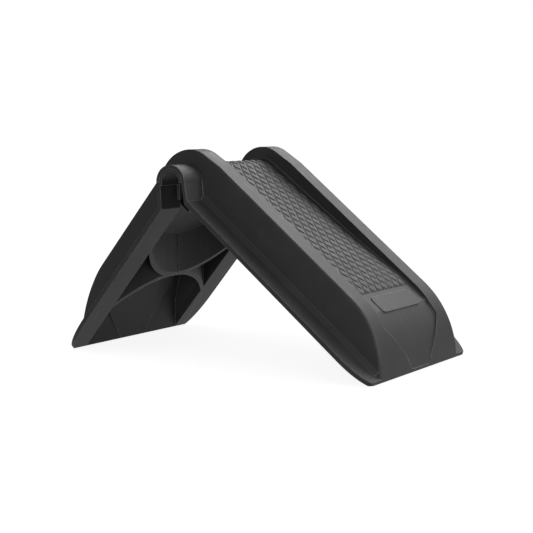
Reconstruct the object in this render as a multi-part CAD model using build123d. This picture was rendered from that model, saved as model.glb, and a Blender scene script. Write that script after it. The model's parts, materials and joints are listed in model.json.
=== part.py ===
from build123d import *

import os
from dataclasses import dataclass
from math import acos, asin, atan2, cos, hypot, pi, radians, sin, sqrt

os.makedirs("parts", exist_ok=True)

# Folding wheel chock, standing open on flat ground.
# +Z is up, +X runs towards the toe of the ramp leg, Y runs along the hinge rod.
# Each leg is first drawn lying along +X from the hinge axis: X is the distance from the axis,
# Z is the height above the axis. It is then turned down to its slope.

# Stance
AXIS_HEIGHT = 156.3
RAMP_SLOPE = 38.5
PROP_SLOPE = 50.2

# Section shared by both legs
SKIN = 3.0
FLANGE_THICK = 4.0
FLANGE_HALF = 95.0
FLANGE_WIDTH = 24.0
WALL_HALF_FOOT = FLANGE_HALF - FLANGE_WIDTH
WALL_DRAFT = 0.15
CORNER_ROUND = 17.0
FLARE = 3.5
RAIL_WIDTH = 24.0
RAIL_INNER_HALF = WALL_HALF_FOOT - RAIL_WIDTH
EDGE_ROUND = 2.0
RAIL_END_R = 27.5

# Hinge knuckles: an outer hook on the ramp leg over an inner hook on the prop leg
HOOK_R = 15.0
HOOK_INNER_R = HOOK_R - SKIN
HOOK_GAP = 0.3
INNER_HOOK_R = HOOK_INNER_R - HOOK_GAP
INNER_HOOK_THICK = 2.5
STOP_GAP = 0.2
SIDE_GAP = 0.3
RAIL_GAP = 0.4
LIP_DEPTH = 3.0
LIP_LAP = 0.3
LIP_TOP = 3.0
LIP_FOOT = -16.0

# Hinge rod and its hardware
ROD_R = 4.0
ROD_RUNNING = 0.08
BARREL_CLEAR = 0.5
BARREL_R = INNER_HOOK_R - BARREL_CLEAR
CENTRE_BARREL_HALF = 14.7
PROP_BARREL_IN = CENTRE_BARREL_HALF + SIDE_GAP
PROP_BARREL_OUT = RAIL_INNER_HALF - 2.0
WASHER_THICK = 1.0
WASHER_R = ROD_R + 5.0
WASHER_PLAY = 0.05
RAMP_BARREL_IN = PROP_BARREL_OUT + WASHER_THICK + 2 * WASHER_PLAY
RAMP_BARREL_OUT = WALL_HALF_FOOT - 10.0
NUT_DISC_THICK = 1.0
NUT_DISC_R = ROD_R + 4.0
NUT_COLLAR_R = ROD_R + 1.6
NUT_LENGTH = 4.0
NUT_GRIP = 0.02
ROD_HALF = RAMP_BARREL_OUT + WASHER_PLAY + NUT_LENGTH + 1.0
ROD_CHAMFER = 0.6
WEB_REACH = 34.0

# Ribs crossing the inside of each leg, standing upright when the chock is in use
RIB_THICK = 3.0
RIB_UPPER_R = 112.0
RIB_LOWER_R = 128.0
RIB_SLOT_WIDTH = 1.4
RIB_SLOT_DEPTH = 2.0

# V-shaped recess that carries the tread channel down the toe and fades out at the ground
SCOOP_TOP_HALF = RAIL_INNER_HALF + 2.0
SCOOP_TOP_RUN = 11.0
SCOOP_FOOT_HALF = 8.0
SCOOP_TURN = 2.6

# Badge panel, left plain
BADGE_HALF = RAIL_INNER_HALF - 14.0
BADGE_TO_TOE = 1.5
BADGE_LENGTH = 18.0
BADGE_ROUND = 4.0
BADGE_RISE = 0.8
BADGE_ROOT = SKIN / 2

FAR = 640.0


@dataclass
class Leg:
    slope: float
    top: float
    under: float
    ends: tuple
    nose_at: float
    nose_r: float
    tread: tuple
    tread_end: float
    rib_at: float
    plate_out: tuple
    plate_in: tuple
    bore_r: float
    rounded_end: bool

    @property
    def toe(self):
        """Distance along the leg where the curved toe meets the flange plane."""
        drop = self.nose_r - self.top + self.under
        return self.nose_at + sqrt(self.nose_r**2 - drop**2)

    @property
    def reach(self):
        """Level distance from the hinge axis to the toe on the ground."""
        slope = radians(self.slope)
        lift = self.top - self.nose_r
        x = self.nose_at * cos(slope) + lift * sin(slope)
        z = lift * cos(slope) - self.nose_at * sin(slope)
        return x + sqrt(self.nose_r**2 - (z + AXIS_HEIGHT) ** 2)


def ground_run(slope, under):
    """Distance along a leg from the hinge axis to where its flange plane meets the ground."""
    return (AXIS_HEIGHT + under * cos(radians(slope))) / sin(radians(slope))


RAMP_UNDER = -5.0
PROP_UNDER = -7.6
RAMP_NOSE = ground_run(RAMP_SLOPE, RAMP_UNDER) - 62.2
PROP_NOSE = ground_run(PROP_SLOPE, PROP_UNDER) - 80.1
PLATE_LAP = 0.7

ramp = Leg(
    slope=RAMP_SLOPE,
    top=RAIL_END_R + 2.0,
    under=RAMP_UNDER,
    ends=((0.0, 0.0, RAIL_END_R), (18.0, 4.5, RAIL_END_R - 2.5)),
    nose_at=RAMP_NOSE,
    nose_r=80.0,
    tread=((0.0, HOOK_R), (60.0, HOOK_R + 3.0), (112.0, HOOK_R + 5.8), (RAMP_NOSE - 14.6, HOOK_R + 10.6)),
    tread_end=RAMP_NOSE + 20.4,
    rib_at=135.0,
    plate_out=((HOOK_R, 0.0), (HOOK_R + 2.8, -15.3)),
    plate_in=((HOOK_INNER_R, 0.0), (HOOK_INNER_R + 2.6, -17.6)),
    bore_r=HOOK_INNER_R,
    rounded_end=True,
)
prop = Leg(
    slope=PROP_SLOPE,
    top=RAIL_END_R - 0.1,
    under=PROP_UNDER,
    ends=((0.0, 0.0, RAIL_END_R - 0.1),),
    nose_at=PROP_NOSE,
    nose_r=118.0,
    tread=((0.0, HOOK_R), (50.0, HOOK_R + 2.0), (90.0, HOOK_R + 4.4), (PROP_NOSE + 3.0, HOOK_R + 7.4)),
    tread_end=PROP_NOSE + 29.0,
    rib_at=113.0,
    plate_out=((HOOK_R, 0.0), (HOOK_R - 1.6, -19.5)),
    plate_in=((INNER_HOOK_R - PLATE_LAP, 0.0), (INNER_HOOK_R - PLATE_LAP - 1.4, -22.0)),
    bore_r=INNER_HOOK_R - INNER_HOOK_THICK,
    rounded_end=False,
)
AXIS_X = (prop.reach - ramp.reach) / 2


def across(sketch, half, start=0.0):
    """Extrude a side view (X, Z) over start <= |Y| <= half, on both sides."""
    slab = extrude(sketch, amount=half - start)
    one = Rot(90, 0, 0) * Pos(0, 0, start) * slab
    return one + mirror(one, about=Plane.XZ)


def along(sketch):
    """Extrude an end view (Y, Z) the whole length of a leg."""
    return Pos(-FAR / 2, 0, 0) * extrude(Plane.YZ * sketch, amount=FAR)


def disc(radius, x=0.0, z=0.0):
    return Pos(x, z) * Circle(radius)


def area(*points):
    return make_face(Polyline(*points, close=True))


def outline(leg, inset=0.0):
    """Side view of the rails: round end, crown, straight top and curved toe."""
    level = leg.under - FLANGE_THICK
    rounds = [*leg.ends, (leg.nose_at, leg.top - leg.nose_r, leg.nose_r)]
    rounds = [(x, z, radius - inset) for x, z, radius in rounds]
    turns = [pi - asin((level - rounds[0][1]) / rounds[0][2])]
    for (x, z, radius), (next_x, next_z, next_radius) in zip(rounds, rounds[1:]):
        lean = acos((radius - next_radius) / hypot(next_x - x, next_z - z))
        turns.append(atan2(next_z - z, next_x - x) + lean)
    turns.append(asin((level - rounds[-1][1]) / rounds[-1][2]))
    lines = []
    for (x, z, radius), start, end in zip(rounds, turns, turns[1:]):
        marks = (start, (start + end) / 2, end)
        points = [(x + radius * cos(turn), z + radius * sin(turn)) for turn in marks]
        if lines:
            lines.append(Line(lines[-1] @ 1, points[0]))
        lines.append(ThreePointArc(*points))
    lines.append(Line(lines[-1] @ 1, lines[0] @ 0))
    return Sketch() + make_face(lines)


def above(level):
    return area((-FAR, level), (FAR, level), (FAR, FAR), (-FAR, FAR))


def tread_line(leg, sink=0.0):
    """Side view of everything above the recessed tread."""
    points = [(x, z - sink) for x, z in leg.tread]
    plateau = leg.tread[-1][1] - sink
    end = leg.tread_end
    room = area(*points, (end, plateau), (end, FAR), (-FAR, FAR), (-FAR, -FAR), (0.0, -FAR))
    return room - disc(HOOK_R - sink)


def section(leg, inset=0.0):
    """End view of the body between the flanges, with drafted sides and a flared foot."""
    foot = WALL_HALF_FOOT - inset
    height = leg.top + EDGE_ROUND if leg.rounded_end else leg.top - inset
    top = foot - height * WALL_DRAFT
    upper = area((-foot, 0.0), (foot, 0.0), (top, height), (-top, height))
    if not leg.rounded_end:
        upper = fillet(upper.vertices().group_by(Axis.Y)[-1], EDGE_ROUND)
    return upper + area((-foot, -FAR), (foot, -FAR), (foot, 0.0), (-foot, 0.0))


def flare(leg):
    """Wedges that blend the side walls into the flange."""
    level = leg.under + FLANGE_THICK
    end = leg.toe - 2 * FLANGE_THICK
    wedge = None
    for side in (-1, 1):
        foot = side * (WALL_HALF_FOOT - SKIN / 2)
        out = side * (WALL_HALF_FOOT + FLARE)
        near = side * (WALL_HALF_FOOT - FLARE * WALL_DRAFT)
        sunk = level - SKIN / 2
        crest = level + FLARE
        profile = area((foot, sunk), (out, sunk), (out, level), (near, crest), (foot, crest))
        piece = extrude(Plane.YZ * profile, amount=end)
        wedge = piece if wedge is None else wedge + piece
    return wedge


def toe_barrel(leg, inset=0.0):
    """Cylinder whose skin is the curved toe."""
    return across(disc(leg.nose_r - inset, leg.nose_at, leg.top - leg.nose_r), FAR / 2)


def scoop(leg, inset=0.0):
    """Recess down the middle of the toe: the toe barrel tipped inwards about its foot."""
    turn = radians(SCOOP_TURN)
    back = leg.nose_at - leg.toe
    down = leg.top - leg.nose_r - leg.under
    x = leg.toe + back * cos(turn) - down * sin(turn)
    z = leg.under + back * sin(turn) + down * cos(turn)
    start = leg.tread_end - FLANGE_THICK
    top_at = leg.tread_end + SCOOP_TOP_RUN
    side = [
        (start, RAIL_INNER_HALF + inset),
        (leg.tread_end, RAIL_INNER_HALF + inset),
        (top_at, SCOOP_TOP_HALF + inset),
        (leg.toe + FLANGE_THICK, SCOOP_FOOT_HALF + inset),
    ]
    plan = area(*side, *[(x, -y) for x, y in reversed(side)])
    prism = Pos(0, 0, leg.under) * extrude(plan, amount=leg.top - leg.under + FLANGE_THICK)
    return prism - across(disc(leg.nose_r - inset, x, z), FAR / 2)


def flange(leg):
    """Flat rim plate with its outer corners rounded in towards the toe."""
    level = leg.under
    round_long = (leg.toe - leg.nose_at) / 2
    straight = leg.toe - round_long
    inner = FLANGE_HALF - CORNER_ROUND
    plan = Pos(straight / 2, 0) * Rectangle(straight, 2 * FLANGE_HALF)
    plan += Pos(leg.toe / 2, 0) * Rectangle(leg.toe, 2 * inner)
    for side in (-1, 1):
        plan += Pos(straight, side * inner) * Ellipse(round_long, CORNER_ROUND)
    plate = Pos(0, 0, level) * extrude(plan, amount=FLANGE_THICK)
    toe_zone = Pos(leg.toe, 0, 0) * Box(2 * (leg.toe - leg.nose_at), 2 * FLANGE_HALF, 2 * FLANGE_HALF)
    return plate - (toe_zone - toe_barrel(leg))


def lay(leg, solid):
    """Turn a leg from lying along +X down to its slope."""
    return Rot(0, leg.slope, 0) * solid


def rail_view(leg, inset=0.0):
    """Side view of the rails above the flange plane, with the whole of the rounded end."""
    view = outline(leg, inset) & above(leg.under)
    if leg.rounded_end:
        below = area((-FAR, leg.under), (0.0, leg.under), (0.0, -FAR), (-FAR, -FAR))
        view += disc(RAIL_END_R - inset) & below
    return view


def shell(leg):
    """Outer body of a leg, laid down to its slope, before it is hollowed."""
    body = across(outline(leg) & above(leg.under), FLANGE_HALF)
    body = body & along(section(leg))
    if leg.rounded_end:
        rims = body.edges().filter_by(lambda edge: abs(edge.center().Y) > RAIL_INNER_HALF)
        rims = rims.filter_by(lambda edge: edge.center().Z > FLANGE_THICK)
        body = fillet(rims, EDGE_ROUND)
        body += across(rail_view(leg) & disc(RAIL_END_R - EDGE_ROUND), FLANGE_HALF) & along(section(leg))
    body -= scoop(leg)
    body -= across(tread_line(leg), RAIL_INNER_HALF)
    body += flare(leg)
    body += flange(leg)
    return lay(leg, body)


def hollow(leg):
    """Inside of a leg: under the tread, and up inside both rails."""
    bottom = leg.under - FLANGE_THICK
    under_tread = outline(leg, SKIN) - tread_line(leg, SKIN)
    front = leg.toe - SKIN
    roof = leg.under + SKIN
    belly = area((0.0, bottom), (front, bottom), (front, roof), (0.0, roof))
    inside = across((under_tread + disc(leg.bore_r) + belly) & above(bottom), FLANGE_HALF)
    rail_inside = rail_view(leg, SKIN) - disc(HOOK_R)
    ends = along(section(leg, SKIN))
    inside = inside & ends
    inside += across(rail_inside, FLANGE_HALF, RAIL_INNER_HALF + SKIN) & ends
    inside -= scoop(leg, SKIN)
    back = across(area((-FAR, -FAR), (leg.nose_at, -FAR), (leg.nose_at, FAR), (-FAR, FAR)), FLANGE_HALF)
    return lay(leg, inside & (toe_barrel(leg, SKIN) + back))


def open_side(leg):
    """Region on the open side of the hook, kept clear of walls and flange."""
    top = leg.plate_in[0]
    foot = leg.plate_in[1]
    clear = area((-FAR, top[1]), top, foot, (foot[0], -FAR), (-FAR, -FAR))
    return across(clear, FAR / 2) + across(disc(leg.bore_r), FAR / 2)


def half_ring(outer, inner, half, start):
    ring = (disc(outer) - disc(inner)) & above(0.0)
    return across(ring, half, start)


def hook_plate(leg, drop=0.0):
    """Upright plate that joins the flange to the hook over the hinge axis."""
    out_top, out_foot = leg.plate_out
    in_top, in_foot = leg.plate_in
    plate = area((in_top[0], -drop), (out_top[0], -drop), out_foot, in_foot)
    return across(plate, FLANGE_HALF, WALL_HALF_FOOT - SKIN / 2)


def ribs(leg):
    """Two curved ribs, back to back at mid leg, upright in use, trimmed to the shell."""
    slope = radians(leg.slope)
    waist = leg.rib_at * cos(slope) + leg.under * sin(slope)
    merge = RIB_THICK / 2
    upper = Pos(waist - RIB_UPPER_R + merge, 0) * (Circle(RIB_UPPER_R) - Circle(RIB_UPPER_R - RIB_THICK))
    lower = Pos(waist + RIB_LOWER_R - merge, 0) * (Circle(RIB_LOWER_R) - Circle(RIB_LOWER_R - RIB_THICK))
    window = Pos(waist, 0) * Rectangle(WALL_HALF_FOOT, 2 * WALL_HALF_FOOT)
    slot = Pos(waist - merge, 0) * Rectangle(2 * RIB_SLOT_DEPTH, RIB_SLOT_WIDTH)
    plan = ((upper + lower) & window) - slot
    return Pos(0, 0, -FAR) * extrude(plan, amount=FAR)


def belly_block(leg):
    """Solid body filling a leg between its flange plane and its skin, used to trim ribs."""
    block = across(outline(leg, SKIN / 2) & above(leg.under), FLANGE_HALF) & along(section(leg, SKIN / 2))
    block -= across(tread_line(leg, SKIN / 2), RAIL_INNER_HALF + SKIN / 2)
    block -= scoop(leg, SKIN / 2)
    return lay(leg, block)


def above_ground(solid):
    ground = Pos(0, 0, FAR / 2 - AXIS_HEIGHT) * Box(2 * FAR, 2 * FAR, FAR)
    return solid & ground


def stand(solid):
    return Pos(AXIS_X, 0, AXIS_HEIGHT) * solid


# Ramp leg
ramp_stop_block = across(area((-FAR, -FAR), (0.0, -FAR), (0.0, SKIN), (-FAR, SKIN)), FLANGE_HALF)
ramp_leg = shell(ramp) - (hollow(ramp) - ramp_stop_block)
ramp_leg += ribs(ramp) & belly_block(ramp)
ramp_leg += half_ring(HOOK_R, HOOK_INNER_R, FLANGE_HALF, WALL_HALF_FOOT - SKIN / 2)
ramp_leg += hook_plate(ramp)
ramp_leg -= open_side(ramp)
ramp_barrel = disc(BARREL_R) + (disc(HOOK_INNER_R + SKIN / 2) & above(0.0))
web_top = HOOK_R - SKIN / 2
ramp_web = area((0.0, 0.0), (WEB_REACH, 0.0), (WEB_REACH, web_top), (0.0, web_top))
ramp_web = Rot(0, 0, -RAMP_SLOPE) * ramp_web
for start, end in ((0.0, CENTRE_BARREL_HALF), (RAMP_BARREL_IN, RAMP_BARREL_OUT)):
    ramp_leg += across(ramp_barrel + ramp_web, end, start)
ramp_leg -= across(disc(ROD_R + ROD_RUNNING), FAR / 2)
badge_plan = RectangleRounded(BADGE_LENGTH, 2 * BADGE_HALF, BADGE_ROUND)
badge_level = ramp.tread[-1][1]
badge_at = ramp.tread_end - BADGE_TO_TOE - BADGE_LENGTH / 2
badge = Pos(badge_at, 0, badge_level - BADGE_ROOT) * extrude(badge_plan, amount=BADGE_RISE + BADGE_ROOT)
ramp_leg += lay(ramp, badge)
ramp_leg = above_ground(ramp_leg)

# Prop leg
prop_inside = hollow(prop)
rail_clear = across(disc(RAIL_END_R + RAIL_GAP), FLANGE_HALF, RAIL_INNER_HALF - SIDE_GAP)
rail_clear &= across(above(-STOP_GAP), FLANGE_HALF)
cap_view = disc(RAIL_END_R + RAIL_GAP + SKIN) & above(-STOP_GAP - SKIN)
rail_cap = across(cap_view - disc(BARREL_R + RAIL_GAP), WALL_HALF_FOOT - SKIN / 2, RAIL_INNER_HALF)
tread_clear = across(disc(HOOK_R + RAIL_GAP), FLANGE_HALF) & across(above(-STOP_GAP), FLANGE_HALF)
prop_leg = shell(prop) - (prop_inside - rail_cap)
prop_leg += ribs(prop) & belly_block(prop)
prop_leg -= rail_clear
prop_leg -= tread_clear
prop_leg += hook_plate(prop, STOP_GAP)
prop_leg -= open_side(prop)
lip = area((-LIP_DEPTH, LIP_TOP), (0.0, LIP_TOP), (0.0, LIP_FOOT), (-LIP_DEPTH, LIP_FOOT))
prop_lip = across(Pos(prop.plate_in[0][0] + LIP_LAP, 0) * lip, WALL_HALF_FOOT, WALL_HALF_FOOT - SKIN)
lip_room = disc(INNER_HOOK_R) + area((0.0, 0.0), (FAR, 0.0), (FAR, -FAR), (0.0, -FAR))
prop_leg += prop_lip & across(lip_room, FLANGE_HALF)
prop_leg += half_ring(INNER_HOOK_R, INNER_HOOK_R - INNER_HOOK_THICK, FLANGE_HALF, WALL_HALF_FOOT - SKIN)
root = disc(INNER_HOOK_R) & area((0.0, -LIP_TOP), (FAR, -LIP_TOP), (FAR, LIP_TOP), (0.0, LIP_TOP))
root -= disc(prop.bore_r)
prop_leg += across(root, FLANGE_HALF, WALL_HALF_FOOT - SKIN)
web_foot = prop.under + SKIN
prop_web = area((0.0, web_foot), (WEB_REACH, web_foot), (WEB_REACH, web_top), (0.0, web_top))
prop_web = Rot(0, 0, -PROP_SLOPE) * prop_web
prop_web -= disc(HOOK_R + 2 * RAIL_GAP) & above(-2 * STOP_GAP)
prop_leg += across(prop_web + disc(BARREL_R), PROP_BARREL_OUT, PROP_BARREL_IN)
prop_leg -= across(disc(ROD_R + ROD_RUNNING), FAR / 2)
prop_leg = Rot(0, 0, 180) * above_ground(prop_leg)

# Hinge rod, washers and push nuts
hinge_rod = across(disc(ROD_R), ROD_HALF)
hinge_rod = chamfer(hinge_rod.edges().filter_by(GeomType.CIRCLE), ROD_CHAMFER)
washer_start = PROP_BARREL_OUT + WASHER_PLAY
hinge_washers = across(disc(WASHER_R) - disc(ROD_R + ROD_RUNNING), washer_start + WASHER_THICK, washer_start)
nut_start = RAMP_BARREL_OUT + WASHER_PLAY
push_nuts = across(disc(NUT_DISC_R) - disc(ROD_R + NUT_GRIP), nut_start + NUT_DISC_THICK, nut_start)
push_nuts += across(disc(NUT_COLLAR_R) - disc(ROD_R + NUT_GRIP), nut_start + NUT_LENGTH, nut_start)

nodes = {
    "ramp_leg": ramp_leg,
    "prop_leg": prop_leg,
    "hinge_rod": hinge_rod,
    "hinge_washers": hinge_washers,
    "push_nuts": push_nuts,
}
for name, solid in nodes.items():
    placed = stand(solid)
    print(name, len(placed.solids()), placed.bounding_box())
    export_step(placed, os.path.join("parts", name + ".step"))
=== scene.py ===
import json
from math import cos, radians, sin

import bpy
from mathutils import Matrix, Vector
from mathutils.bvhtree import BVHTree


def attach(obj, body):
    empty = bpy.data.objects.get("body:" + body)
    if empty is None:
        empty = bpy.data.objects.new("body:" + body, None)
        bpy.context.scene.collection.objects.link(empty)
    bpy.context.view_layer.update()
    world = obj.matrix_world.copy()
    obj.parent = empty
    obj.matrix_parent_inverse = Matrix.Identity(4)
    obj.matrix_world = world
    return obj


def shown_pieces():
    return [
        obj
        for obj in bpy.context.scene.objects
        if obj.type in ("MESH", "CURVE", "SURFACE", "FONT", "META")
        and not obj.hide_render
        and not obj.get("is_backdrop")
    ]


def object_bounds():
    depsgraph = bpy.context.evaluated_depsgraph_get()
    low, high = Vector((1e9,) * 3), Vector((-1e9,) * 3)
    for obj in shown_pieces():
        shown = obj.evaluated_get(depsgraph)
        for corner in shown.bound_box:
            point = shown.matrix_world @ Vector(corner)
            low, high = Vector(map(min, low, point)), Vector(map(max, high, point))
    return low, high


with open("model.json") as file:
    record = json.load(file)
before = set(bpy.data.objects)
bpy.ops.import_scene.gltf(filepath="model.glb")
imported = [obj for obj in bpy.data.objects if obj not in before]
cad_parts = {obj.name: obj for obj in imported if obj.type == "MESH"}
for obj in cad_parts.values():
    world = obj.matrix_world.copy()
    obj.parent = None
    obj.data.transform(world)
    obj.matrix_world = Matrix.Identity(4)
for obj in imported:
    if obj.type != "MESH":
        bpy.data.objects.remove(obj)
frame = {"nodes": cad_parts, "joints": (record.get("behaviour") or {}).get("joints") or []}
low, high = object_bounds()

# Where the two legs lie: both run down from the hinge rod
HINGE = Vector(frame["joints"][0]["pos_m"])
RAMP_SLOPE = radians(38.5)
PROP_SLOPE = radians(50.2)
APEX_ROUND = 0.015

# Grip scales on the treads
SCALE_LONG = 0.0151
SCALE_WIDE = 0.0104
SCALE_GROOVE = 0.0011
SCALE_RISE = 0.0005
SCALE_CROWN = 0.0004
SCALE_BEVEL = 0.0006
SCALE_SINK = 0.0006
SAME_CORNER = SCALE_SINK / 10
SHOULDER_ROOM = 0.35
CROWN_RUN = SCALE_BEVEL * 2.6
CROWN_ROOM = 0.7
CROWN_RING_LIFT = SCALE_RISE + SCALE_CROWN * 0.7
FIELD_HALF = 0.0435
RAMP_FIELD = (-0.026, 0.1795)
PROP_FIELD = (0.0075, 0.119)

# Low curbs along the foot of both rails, dying away towards the toe
CURB_INNER = 0.0450
CURB_OUTER = 0.0472
CURB_ROUND = 0.0004
CURB_STEPS = 48
RAMP_CURB = (-0.030, 0.192)
PROP_CURB = (0.0075, 0.132)
CURB_RISE = 0.0031

# Studio
FLOOR_REACH = 6.0
FLOOR_DROP = 0.0005
AIR_LIGHT = 0.34
VIEW_AZIMUTH = 33.33
VIEW_ELEVATION = 6.59
VIEW_DISTANCE = 1.1804
VIEW_LENS = 88.34
VIEW_SENSOR = 36.0
VIEW_SHIFT = (0.0016, -0.0144)
SOFT_BOXES = (
    ("back_box", (0.2, 1.4, 1.45), (2.2, 1.2), 55.0),
    ("right_box", (1.6, 0.3, 0.8), (0.9, 0.9), 38.0),
    ("front_box", (0.75, -1.7, 0.5), (1.4, 0.8), 28.0),
)


class Link:
    """A node's output that takes part in Python sums."""

    def __init__(self, recipe, socket):
        self.recipe = recipe
        self.socket = socket

    def sum_node(self, operation, first, second):
        return self.recipe.node("ShaderNodeMath", {"operation": operation}, {0: first, 1: second})

    def __add__(self, other):
        return self.sum_node("ADD", self, other)

    def __sub__(self, other):
        return self.sum_node("SUBTRACT", self, other)

    def __rsub__(self, other):
        return self.sum_node("SUBTRACT", other, self)

    def __mul__(self, other):
        return self.sum_node("MULTIPLY", self, other)

    __radd__ = __add__
    __rmul__ = __mul__


class Recipe:
    """One material and the nodes that make its finish."""

    def __init__(self, name):
        self.material = bpy.data.materials.new(name)
        self.material.use_nodes = True
        self.tree = self.material.node_tree
        self.tree.nodes.clear()

    def node(self, kind, settings=None, inputs=None, output=0):
        made = self.tree.nodes.new(kind)
        for key, value in (settings or {}).items():
            setattr(made, key, value)
        for key, value in (inputs or {}).items():
            if isinstance(value, Link):
                self.tree.links.new(value.socket, made.inputs[key])
            else:
                made.inputs[key].default_value = value
        return Link(self, made.outputs[output]) if made.outputs else None

    def noise(self, where, scale, detail=3.0, roughness=0.55):
        inputs = {"Vector": where, "Scale": scale, "Detail": detail, "Roughness": roughness}
        return self.node("ShaderNodeTexNoise", None, inputs)

    def spread(self, value, low_in, high_in, low_out=0.0, high_out=1.0):
        settings = {"interpolation_type": "SMOOTHSTEP"}
        inputs = {"Value": value, "From Min": low_in, "From Max": high_in}
        inputs.update({"To Min": low_out, "To Max": high_out})
        return self.node("ShaderNodeMapRange", settings, inputs)

    def stretched(self, where, scale):
        return self.node("ShaderNodeMapping", None, {"Vector": where, "Scale": scale})

    def bump(self, strength, distance, height, **more):
        inputs = {"Strength": strength, "Distance": distance, "Height": height, **more}
        return self.node("ShaderNodeBump", None, inputs)

    def blend(self, factor, first, second):
        return self.node("ShaderNodeMix", {"data_type": "RGBA"}, {0: factor, 6: first, 7: second}, 2)

    def finish(self, **inputs):
        named = {key.replace("_", " "): value for key, value in inputs.items()}
        shader = self.node("ShaderNodeBsdfPrincipled", None, named)
        self.node("ShaderNodeOutputMaterial", None, {"Surface": shader})
        return self.material


def moulded_plastic():
    """Black moulded plastic: fine spark grain, faint flow marks, and edges painted lighter, partly handling
    wear and partly a painted highlight.
    """
    mix = Recipe("moulded_black_plastic")
    place = mix.node("ShaderNodeTexCoord", None, None, 3)
    soft_edge = mix.node("ShaderNodeBevel", {"samples": 4}, {"Radius": 0.0009})
    face = mix.node("ShaderNodeNewGeometry", None, None, 1)
    match = mix.node("ShaderNodeVectorMath", {"operation": "DOT_PRODUCT"}, {0: soft_edge, 1: face}, 1)
    grain = mix.noise(place, 1900.0, 4.0, 0.6)
    pores = mix.node("ShaderNodeTexVoronoi", {"feature": "SMOOTH_F1"}, {"Vector": place, "Scale": 1100.0})
    flow = mix.noise(place, 22.0, 4.0, 0.6)
    smear = mix.noise(mix.stretched(place, (1.0, 4.0, 0.6)), 45.0, 5.0, 0.65)
    scuff = mix.spread(smear, 0.52, 0.72)
    edge = mix.spread(1.0 - match, 0.02, 0.22)
    # Painted highlight along every edge, standing in for light caught on the rims, mixed with some handling
    # wear.
    edge_wear_and_painted_highlight = edge * mix.spread(mix.noise(place, 160.0, 3.0, 0.6), 0.30, 0.62, 0.45, 1.0)
    streak = mix.spread(flow, 0.30, 0.72)
    colour = mix.blend(streak, (0.0058, 0.0058, 0.0063, 1.0), (0.0090, 0.0089, 0.0093, 1.0))
    colour = mix.blend(scuff * 0.35, colour, (0.016, 0.016, 0.016, 1.0))
    # The light grey laid over the edges is mostly a painted highlight, partly wear.
    colour = mix.blend(edge_wear_and_painted_highlight * 0.9, colour, (0.125, 0.125, 0.130, 1.0))
    rough = 0.56 + 0.10 * (flow - 0.5) + 0.16 * (grain - 0.5) - 0.07 * scuff - 0.08 * edge
    surface = mix.bump(0.35, 0.00008, grain + 0.6 * pores, Normal=soft_edge)
    surface = mix.bump(0.25, 0.0004, flow, Normal=surface)
    return mix.finish(Base_Color=colour, Roughness=rough, Specular_IOR_Level=0.24, Normal=surface)


def plated_steel():
    """Bright zinc-plated steel with turning marks and dull patches."""
    mix = Recipe("zinc_plated_steel")
    place = mix.node("ShaderNodeTexCoord", None, None, 3)
    turning = mix.noise(mix.stretched(place, (1.0, 40.0, 1.0)), 90.0, 4.0, 0.7)
    patch = mix.spread(mix.noise(place, 140.0, 4.0, 0.6), 0.35, 0.68)
    colour = mix.blend(patch, (0.48, 0.49, 0.50, 1.0), (0.62, 0.62, 0.60, 1.0))
    rough = 0.30 + 0.18 * patch + 0.12 * (turning - 0.5)
    surface = mix.bump(0.3, 0.00005, turning)
    return mix.finish(Base_Color=colour, Metallic=1.0, Roughness=rough, Normal=surface)


def lit_table():
    """Pale floor that glows a little, as a light table does."""
    mix = Recipe("pale_table")
    place = mix.node("ShaderNodeTexCoord", None, None, 3)
    tone = mix.spread(mix.noise(place, 3.0, 2.0), 0.3, 0.7)
    colour = mix.blend(tone, (0.56, 0.56, 0.56, 1.0), (0.60, 0.60, 0.60, 1.0))
    glow = (1.0, 1.0, 1.0, 1.0)
    return mix.finish(Base_Color=colour, Roughness=0.9, Emission_Color=glow, Emission_Strength=0.88)


def tree_of(obj):
    mesh = obj.data
    return BVHTree.FromPolygons([v.co for v in mesh.vertices], [list(p.vertices) for p in mesh.polygons])


class Tread:
    """The running surface of one leg, felt out on its moulding."""

    def __init__(self, node, slope, side):
        self.skin = tree_of(frame["nodes"][node])
        self.along = Vector((side * cos(slope), 0.0, -sin(slope)))
        self.rise = Vector((side * sin(slope), 0.0, cos(slope)))

    def out(self, u):
        if u >= 0.0:
            return self.rise
        turn = -u / APEX_ROUND
        return self.rise * cos(turn) - self.along * sin(turn)

    def point(self, u, v, lift):
        """Place lift above the tread, u along the leg and v across it."""
        out = self.out(u)
        start = HINGE + self.along * max(u, 0.0) + Vector((0.0, v, 0.0)) + out * APEX_ROUND * 3
        hit = self.skin.ray_cast(start, -out)[0]
        return hit + out * lift


def clipped(corners, axis, limit, keep_low):
    """Cut a flat shape along one straight line."""
    kept = []
    for first, second in zip(corners, corners[1:] + corners[:1]):
        inside = (first[axis] <= limit) == keep_low
        if inside:
            kept.append(first)
        if inside != ((second[axis] <= limit) == keep_low):
            share = (limit - first[axis]) / (second[axis] - first[axis])
            kept.append(tuple(a + share * (b - a) for a, b in zip(first, second)))
    spaced = zip(kept, kept[-1:] + kept[:-1])
    return [corner for corner, before in spaced if (Vector(corner) - Vector(before)).length > SAME_CORNER]


def shrunk(corners, inset):
    """Move every side of a convex shape inwards by the same distance."""
    count = len(corners)
    sides = []
    for first, second in zip(corners, corners[1:] + corners[:1]):
        run = Vector((second[0] - first[0], second[1] - first[1]))
        sides.append((Vector(first), run.normalized()))
    moved = []
    for index in range(count):
        start, run = sides[index - 1]
        other, turn = sides[index]
        into = Vector((-run.y, run.x)) * inset
        bend = run.x * turn.y - run.y * turn.x
        reach = Vector((-turn.y, turn.x)) * inset
        gap = (other + reach) - (start + into)
        share = (gap.x * turn.y - gap.y * turn.x) / bend
        moved.append(tuple(start + into + run * share))
    return moved


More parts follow.
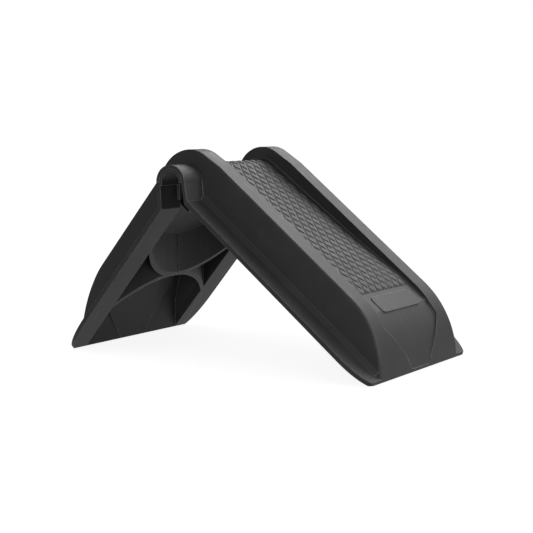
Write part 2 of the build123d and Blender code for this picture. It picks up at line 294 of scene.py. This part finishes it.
def room_inside(corners):
    """Radius of the circle that would fit a shape of this area and girth."""
    area, girth = 0.0, 0.0
    for first, second in zip(corners, corners[1:] + corners[:1]):
        area += (first[0] * second[1] - second[0] * first[1]) / 2
        girth += (Vector(second) - Vector(first)).length
    return 2 * area / girth


def new_piece(name, points, faces, body):
    """A separate moulded detail that moves with one leg."""
    mesh = bpy.data.meshes.new(name)
    mesh.from_pydata(points, [], faces)
    mesh.update()
    piece = bpy.data.objects.new(name, mesh)
    bpy.context.scene.collection.objects.link(piece)
    mesh.materials.append(plastic)
    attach(piece, body)
    return piece


def add_scale(tread, corners, points, faces):
    """One raised scale: a bevelled lozenge with a low crown, a little higher at its toe end."""
    foot = shrunk(corners, SCALE_GROOVE / 2)
    shoulder = shrunk(foot, min(SCALE_BEVEL, room_inside(foot) * SHOULDER_ROOM))
    crown = shrunk(foot, min(CROWN_RUN, room_inside(foot) * CROWN_ROOM))
    middle = [sum(corner[axis] for corner in corners) / len(corners) for axis in (0, 1)]
    count = len(corners)
    start = len(points)
    rings = ((foot, -SCALE_SINK), (shoulder, SCALE_RISE), (crown, CROWN_RING_LIFT))
    for ring, lift in rings:
        for u, v in ring:
            lean = SCALE_CROWN * (u - middle[0]) / SCALE_LONG if lift > 0.0 else 0.0
            points.append(tread.point(u, v, lift + lean))
    points.append(tread.point(middle[0], middle[1], SCALE_RISE + SCALE_CROWN))
    for level in (0, 1):
        for index in range(count):
            after = (index + 1) % count
            a = start + level * count
            faces.append((a + index, a + after, a + count + after, a + count + index))
    for index in range(count):
        after = (index + 1) % count
        faces.append((start + 2 * count + index, start + 2 * count + after, start + 3 * count))


def grip_scales(name, tread, field, body):
    """Rows of lozenge scales, each row half a scale out of step with the last."""
    points, faces = [], []
    sides = ((0, field[1], True), (0, field[0], False), (1, FIELD_HALF, True), (1, -FIELD_HALF, False))
    rows = int((field[1] - field[0]) / (SCALE_LONG / 2)) + 3
    across = int(FIELD_HALF / SCALE_WIDE) + 2
    for row in range(rows):
        u = field[1] + SCALE_LONG / 6 - row * SCALE_LONG / 2
        for column in range(-across, across + 1):
            v = (column + (row % 2) / 2) * SCALE_WIDE
            top, foot = (u - SCALE_LONG / 2, v), (u + SCALE_LONG / 2, v)
            corners = [top, (u, v - SCALE_WIDE / 2), foot, (u, v + SCALE_WIDE / 2)]
            for axis, limit, keep_low in sides:
                corners = clipped(corners, axis, limit, keep_low)
            if len(corners) > 2 and room_inside(corners) > SCALE_GROOVE:
                add_scale(tread, corners, points, faces)
    return new_piece(name, points, faces, body)


def curbs(name, tread, run, body):
    """The low step where each rail's inner wall meets the tread."""
    points, faces = [], []
    for side in (-1, 1):
        start = len(points)
        for step in range(CURB_STEPS + 1):
            u = run[0] + (run[1] - run[0]) * step / CURB_STEPS
            top = CURB_RISE * (1.0 - max(u, 0.0) / run[1]) + CURB_ROUND
            ring = (
                (CURB_INNER, -SCALE_SINK),
                (CURB_INNER, top - CURB_ROUND),
                (CURB_INNER + CURB_ROUND, top),
                (CURB_OUTER, top),
                (CURB_OUTER, -SCALE_SINK),
            )
            foot = tread.point(u, side * (CURB_INNER - CURB_ROUND), 0.0)
            for v, lift in ring:
                aside = Vector((0.0, side * (v - CURB_INNER + CURB_ROUND), 0.0))
                points.append(foot + tread.out(u) * lift + aside)
        count = len(ring)
        for step in range(CURB_STEPS):
            for index in range(count):
                after = (index + 1) % count
                a, b = start + step * count, start + (step + 1) * count
                face = (a + index, a + after, b + after, b + index)
                faces.append(face if side > 0 else face[::-1])
        faces.append(tuple(range(start, start + count))[::-side])
        last = start + CURB_STEPS * count
        faces.append(tuple(range(last, last + count))[::side])
    return new_piece(name, points, faces, body)


def coat(node, material):
    """Give one carried-over moulding its finish."""
    mesh = frame["nodes"][node].data
    mesh.materials.clear()
    mesh.materials.append(material)


plastic = moulded_plastic()
steel = plated_steel()
for node in ("ramp_leg", "prop_leg"):
    coat(node, plastic)
for node in ("hinge_rod", "hinge_washers", "push_nuts"):
    coat(node, steel)

ramp_tread = Tread("ramp_leg", RAMP_SLOPE, 1)
prop_tread = Tread("prop_leg", PROP_SLOPE, -1)
grip_scales("ramp_grip_scales", ramp_tread, RAMP_FIELD, "ramp")
grip_scales("prop_grip_scales", prop_tread, PROP_FIELD, "prop")
curbs("ramp_rail_curbs", ramp_tread, RAMP_CURB, "ramp")
curbs("prop_rail_curbs", prop_tread, PROP_CURB, "prop")


def studio_floor():
    """Bright floor that is mirrored in the chock but throws no soft light up into it."""
    signs = ((-1, -1), (1, -1), (1, 1), (-1, 1))
    mesh = bpy.data.meshes.new("studio_floor")
    mesh.from_pydata([(x * FLOOR_REACH, y * FLOOR_REACH, 0.0) for x, y in signs], [], [(0, 1, 2, 3)])
    floor = bpy.data.objects.new("studio_floor", mesh)
    floor.location.z = low.z - FLOOR_DROP
    bpy.context.scene.collection.objects.link(floor)
    mesh.materials.append(lit_table())
    floor.visible_diffuse = False
    floor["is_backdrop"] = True


def soft_box(name, place, aim, size, power):
    """A large soft light that falls on the chock alone."""
    light = bpy.data.lights.new(name, "AREA")
    light.shape = "RECTANGLE"
    light.size, light.size_y = size
    light.energy = power
    lamp = bpy.data.objects.new(name, light)
    lamp.location = place
    lamp.rotation_euler = (aim - place).to_track_quat("-Z", "Y").to_euler()
    lamp.light_linking.receiver_collection = lit_pieces
    bpy.context.scene.collection.objects.link(lamp)


def studio_air(strength):
    """Plain white surroundings, which light the chock only dimly."""
    world = bpy.data.worlds.new("studio")
    world.use_nodes = True
    tree = world.node_tree
    tree.nodes.clear()
    seen = tree.nodes.new("ShaderNodeBackground")
    dim = tree.nodes.new("ShaderNodeBackground")
    dim.inputs["Strength"].default_value = strength
    seen.inputs["Color"].default_value = dim.inputs["Color"].default_value = (1.0, 1.0, 1.0, 1.0)
    path = tree.nodes.new("ShaderNodeLightPath")
    choice = tree.nodes.new("ShaderNodeMixShader")
    out = tree.nodes.new("ShaderNodeOutputWorld")
    tree.links.new(path.outputs["Is Camera Ray"], choice.inputs[0])
    tree.links.new(dim.outputs[0], choice.inputs[1])
    tree.links.new(seen.outputs[0], choice.inputs[2])
    tree.links.new(choice.outputs[0], out.inputs["Surface"])
    bpy.context.scene.world = world


def studio_camera(aim):
    azimuth, elevation = radians(VIEW_AZIMUTH), radians(VIEW_ELEVATION)
    lens = bpy.data.cameras.new("camera")
    lens.lens = VIEW_LENS
    lens.sensor_width = VIEW_SENSOR
    lens.clip_end = 30.0
    camera = bpy.data.objects.new("camera", lens)
    away = Vector((sin(azimuth) * cos(elevation), -cos(azimuth) * cos(elevation), sin(elevation)))
    camera.location = aim + away * VIEW_DISTANCE
    camera.rotation_euler = (-away).to_track_quat("-Z", "Y").to_euler()
    bpy.context.scene.collection.objects.link(camera)
    bpy.context.scene.camera = camera


lit_pieces = bpy.data.collections.new("lit_pieces")
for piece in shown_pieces():
    lit_pieces.objects.link(piece)
bpy.context.scene.view_settings.view_transform = "Standard"
middle = (low + high) / 2
studio_floor()
studio_air(AIR_LIGHT)
studio_camera(Vector((middle.x + VIEW_SHIFT[0], middle.y, middle.z + VIEW_SHIFT[1])))
for name, offset, size, power in SOFT_BOXES:
    soft_box(name, middle + Vector(offset), middle, size, power)

low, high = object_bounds()
